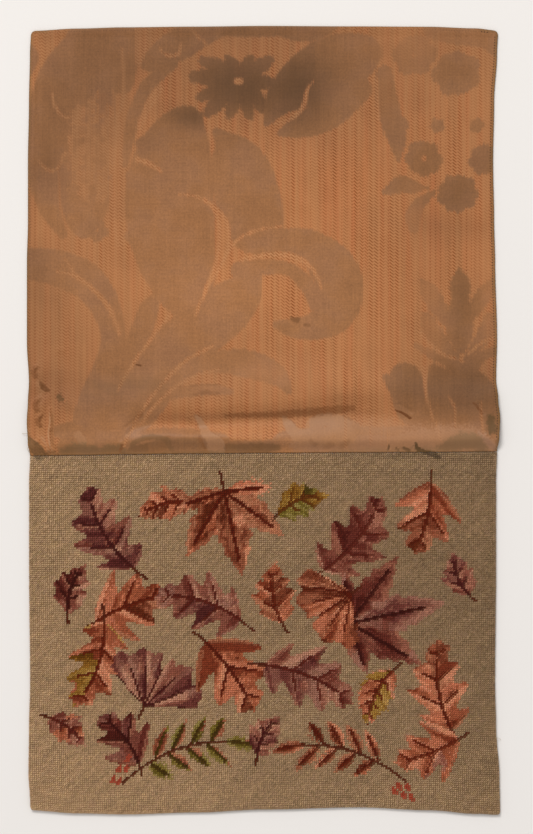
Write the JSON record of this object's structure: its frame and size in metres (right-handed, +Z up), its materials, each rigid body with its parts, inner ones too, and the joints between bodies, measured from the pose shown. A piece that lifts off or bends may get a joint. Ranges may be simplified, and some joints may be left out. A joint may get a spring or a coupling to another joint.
{
  "type": "needlepoint picture with an attached silk damask panel",
  "caption": "Flat textile: a wool needlepoint panel of autumn leaves sewn along one edge to a copper silk damask panel with a soft roll beside the seam.",
  "frame": {"origin": "under the middle of the whole outline, on the surface that the cloth lies on", "axes": "+X along the seam to the right, +Y from the needlepoint towards the silk's far edge, +Z up out of the face"},
  "size_m": [0.418, 0.6964, 0.0083],
  "materials": {
    "wool_stitches": "wool tent stitch on canvas, matte, olive tan ground with rust, coral, rose and plum leaves",
    "silk_damask": "copper silk damask, satin sheen on a ribbed twill ground, faded and stained",
    "sewing_thread": "fine brown sewing thread",
    "loose_thread": "pale worn thread ends"
  },
  "bodies": {
    "root": {"needlepoint_panel": "wool_stitches", "silk_panel": "silk_damask"}
  },
  "joints": []
}
